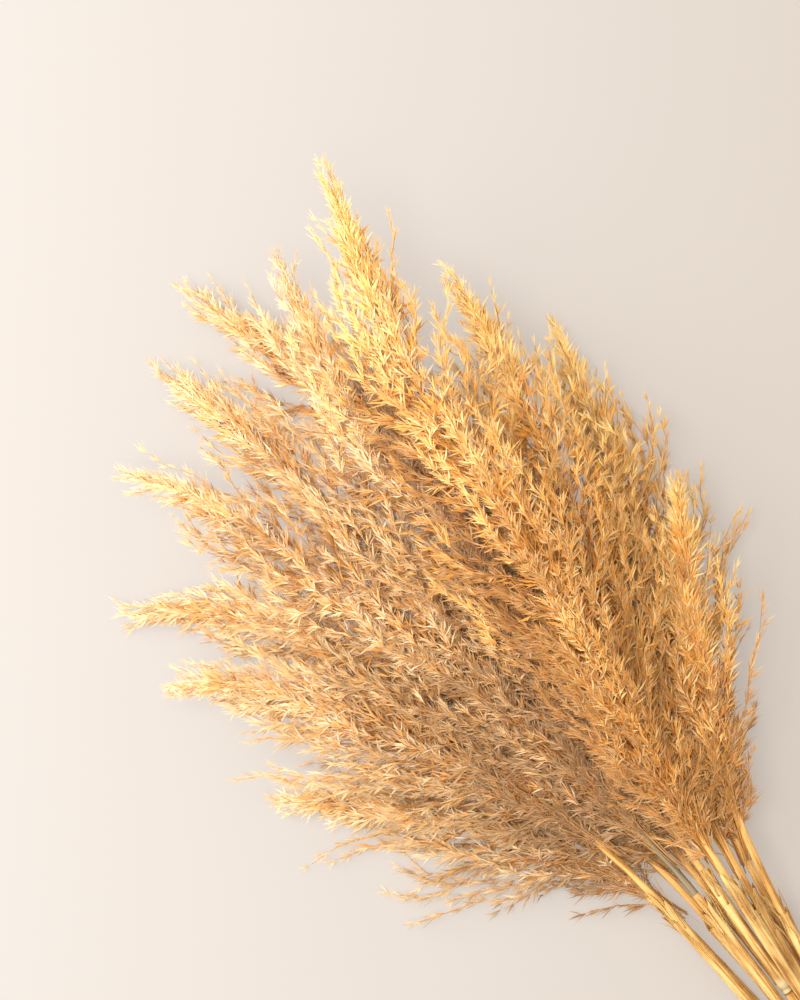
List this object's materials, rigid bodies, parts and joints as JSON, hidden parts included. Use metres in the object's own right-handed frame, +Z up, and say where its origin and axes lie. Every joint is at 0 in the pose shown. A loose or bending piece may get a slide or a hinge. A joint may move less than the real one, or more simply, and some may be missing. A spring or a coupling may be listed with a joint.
{
  "type": "bundle of pampas grass",
  "caption": "Dried pampas grass bunch lying on its side: slender reed stems with leaf sheaths, bound in twine near their cut ends, fanning into long feathery plumes.",
  "frame": {"origin": "middle of the foot of the bunch's box, on the surface that it lies on", "axes": "+X along the stalks from the cut ends to the plume tips, +Y across the fan to the left of that, +Z up from the surface"},
  "size_m": [0.7352, 0.274, 0.1162],
  "materials": {
    "culm": "satin",
    "grey_culm": "satin",
    "leaf_sheath": "matte",
    "plume": "matte",
    "twine": "matte"
  },
  "bodies": {
    "root": {"stem_01": "culm", "leaf_sheath_01": "leaf_sheath", "plume_01": "plume", "stem_02": "culm", "leaf_sheath_02": "leaf_sheath", "plume_02": "plume", "stem_03": "culm", "leaf_sheath_03": "leaf_sheath", "plume_03": "plume", "stem_04": "culm", "leaf_sheath_04": "leaf_sheath", "plume_04": "plume", "stem_05": "grey_culm", "leaf_sheath_05": "leaf_sheath", "plume_05": "plume", "stem_06": "culm", "leaf_sheath_06": "leaf_sheath", "plume_06": "plume", "stem_07": "culm", "leaf_sheath_07": "leaf_sheath", "plume_07": "plume", "stem_08": "culm", "leaf_sheath_08": "leaf_sheath", "plume_08": "plume", "stem_09": "culm", "leaf_sheath_09": "leaf_sheath", "plume_09": "plume", "stem_10": "culm", "leaf_sheath_10": "leaf_sheath", "plume_10": "plume", "stem_11": "culm", "leaf_sheath_11": "leaf_sheath", "plume_11": "plume", "binding_twine": "twine"}
  },
  "joints": []
}
